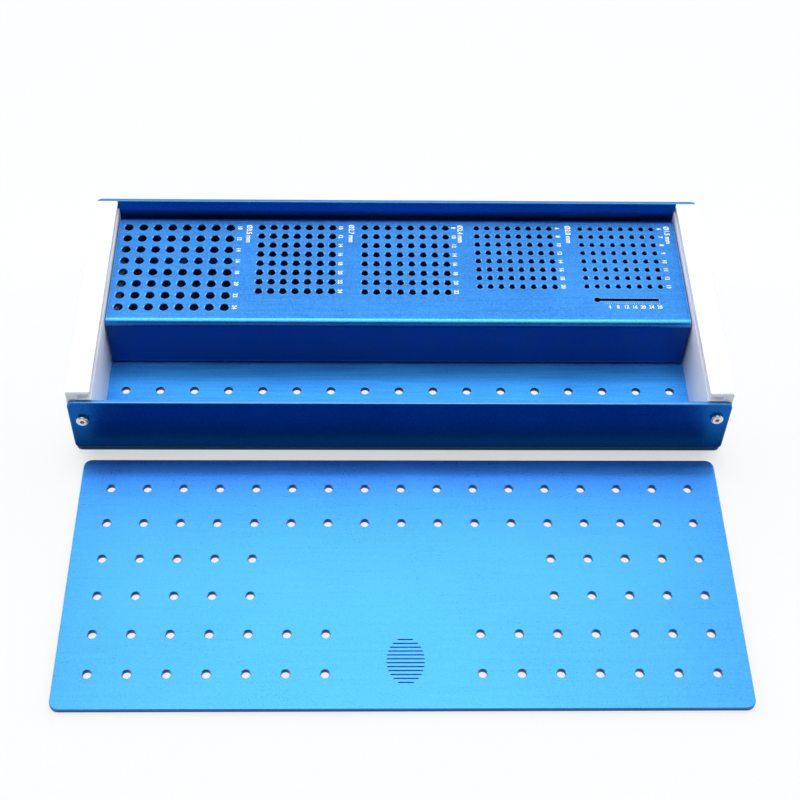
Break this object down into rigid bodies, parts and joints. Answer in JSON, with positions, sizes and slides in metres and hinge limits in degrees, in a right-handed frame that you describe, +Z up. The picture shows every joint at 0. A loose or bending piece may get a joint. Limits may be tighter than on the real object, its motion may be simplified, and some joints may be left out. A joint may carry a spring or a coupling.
{
  "type": "surgical screw tray",
  "caption": "Low sterilising tray whose bent rack holds bone screws by size in perforated grids, with white end blocks, a length gauge and a perforated lid that slides in grooves.",
  "frame": {"origin": "centre of the tray's flat underside, on the table", "axes": "+X along the tray's length to the right, +Y from the front wall to the rear wall, +Z up; the lid lies on the -Y side"},
  "size_m": [0.3, 0.2631, 0.0395],
  "materials": {
    "blue_anodised": "satin blue anodised, bead blasted",
    "blue_anodised_lid": "satin blue anodised, fine horizontal grain",
    "white_plastic": "milled, slightly translucent",
    "stainless": "polished",
    "rivet_aluminium": "satin"
  },
  "bodies": {
    "tray": {"floor_plate": "blue_anodised", "front_wall": "blue_anodised", "rear_wall": "blue_anodised", "screw_rack": "blue_anodised", "end_block_left": "white_plastic", "end_block_right": "white_plastic", "wall_screw_front_left": "stainless", "wall_screw_front_right": "stainless", "wall_screw_rear_left": "stainless", "wall_screw_rear_right": "stainless", "base_screw_front_left": "stainless", "base_screw_front_right": "stainless", "base_screw_rear_left": "stainless", "base_screw_rear_right": "stainless", "rack_rivet_front_left": "rivet_aluminium", "rack_rivet_front_middle": "rivet_aluminium", "rack_rivet_front_right": "rivet_aluminium", "rack_rivet_rear_left": "rivet_aluminium", "rack_rivet_rear_middle": "rivet_aluminium", "rack_rivet_rear_right": "rivet_aluminium"},
    "lid": {"sliding_lid": "blue_anodised_lid"}
  },
  "joints": [
    {"name": "lid_lift", "type": "slide", "parent": "tray", "child": "lid", "axis": [0, 0, 1], "range_m": [0, 0.06]}
  ]
}
